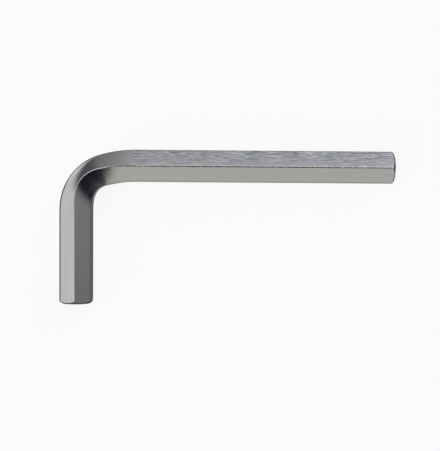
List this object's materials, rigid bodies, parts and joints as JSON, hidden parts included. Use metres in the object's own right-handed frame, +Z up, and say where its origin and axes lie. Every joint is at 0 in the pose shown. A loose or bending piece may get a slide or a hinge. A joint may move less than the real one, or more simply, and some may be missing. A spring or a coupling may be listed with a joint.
{
  "type": "hex key",
  "caption": "L-shaped hexagon key: a hexagonal steel bar bent once to a right angle, with a chamfered drive tip on each arm.",
  "frame": {"origin": "on the surface that the key lies on, under the middle of its bounding box", "axes": "+X along the long arm from the bend to its tip, -Y along the short arm to its tip, +Z up, square to the plane of the bend"},
  "size_m": [0.178, 0.082, 0.0194],
  "materials": {
    "plated_steel": "satin plated steel with fine brushing along the arms"
  },
  "bodies": {
    "root": {"hex_key": "plated_steel"}
  },
  "joints": []
}
